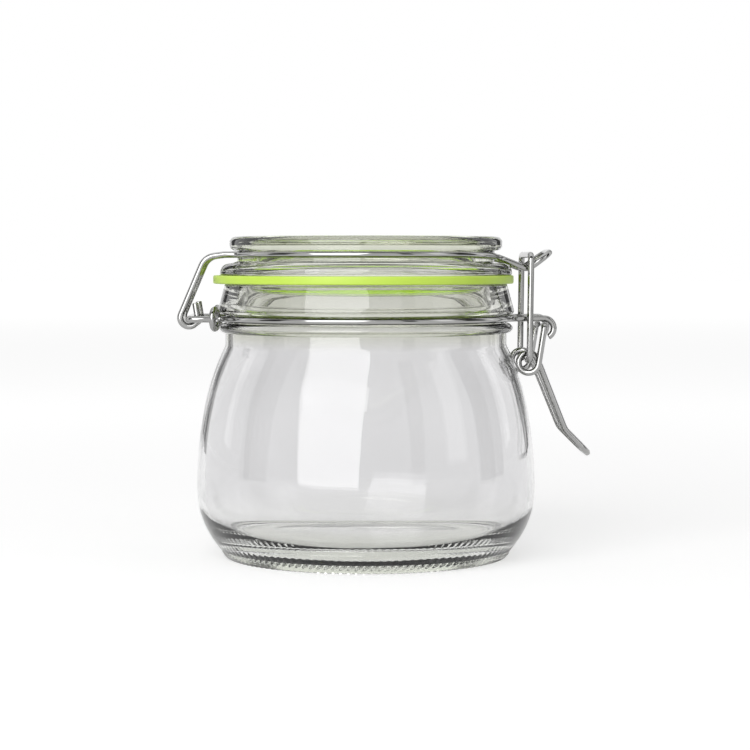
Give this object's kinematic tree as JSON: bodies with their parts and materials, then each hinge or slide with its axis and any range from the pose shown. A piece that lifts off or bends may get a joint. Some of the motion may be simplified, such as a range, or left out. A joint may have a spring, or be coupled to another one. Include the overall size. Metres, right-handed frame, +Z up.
{
  "type": "storage jar",
  "caption": "Squat clear-glass storage jar with a hinged dished glass lid, flat green rubber seal and an over-centre wire clasp.",
  "frame": {"origin": "on the jar's axis, in the plane that the foot stands on", "axes": "+Z up along the jar's axis; +X towards the clasp, so the hinge is at -X; +Y completes the right-handed frame, and the part is the same on both sides of the XZ plane"},
  "size_m": [0.1312, 0.108, 0.1018],
  "materials": {
    "clear_glass": "clear pressed soda-lime glass, very slightly wavy, with a faint green-grey tint at thick edges",
    "green_rubber": "satin lime-green rubber, flat-cut ring",
    "steel_wire": "bright drawn stainless steel wire with bend marks and cut ends"
  },
  "bodies": {
    "jar": {"jar_glass": "clear_glass", "neck_wire": "steel_wire"},
    "lid": {"lid_glass": "clear_glass", "seal": "green_rubber", "lid_wire": "steel_wire"},
    "lever": {"lever": "steel_wire"},
    "link": {"link": "steel_wire"}
  },
  "joints": [
    {"name": "lid_hinge", "type": "hinge", "parent": "jar", "child": "lid", "pos_m": [-0.0558, 0, 0.076], "axis": [0, -1, 0], "range_deg": [0, 200]},
    {"name": "lever_pivot", "type": "hinge", "parent": "jar", "child": "lever", "pos_m": [0.0559, 0, 0.0737], "axis": [0, -1, 0], "range_deg": [0, 100]},
    {"name": "link_pivot", "type": "hinge", "parent": "lever", "child": "link", "pos_m": [0.05091, 0, 0.06284], "axis": [0, -1, 0], "range_deg": [-62, 0]}
  ],
  "couplings": [
    {"joint": "link_pivot", "follows": "lever_pivot", "ratio": -0.61}
  ]
}
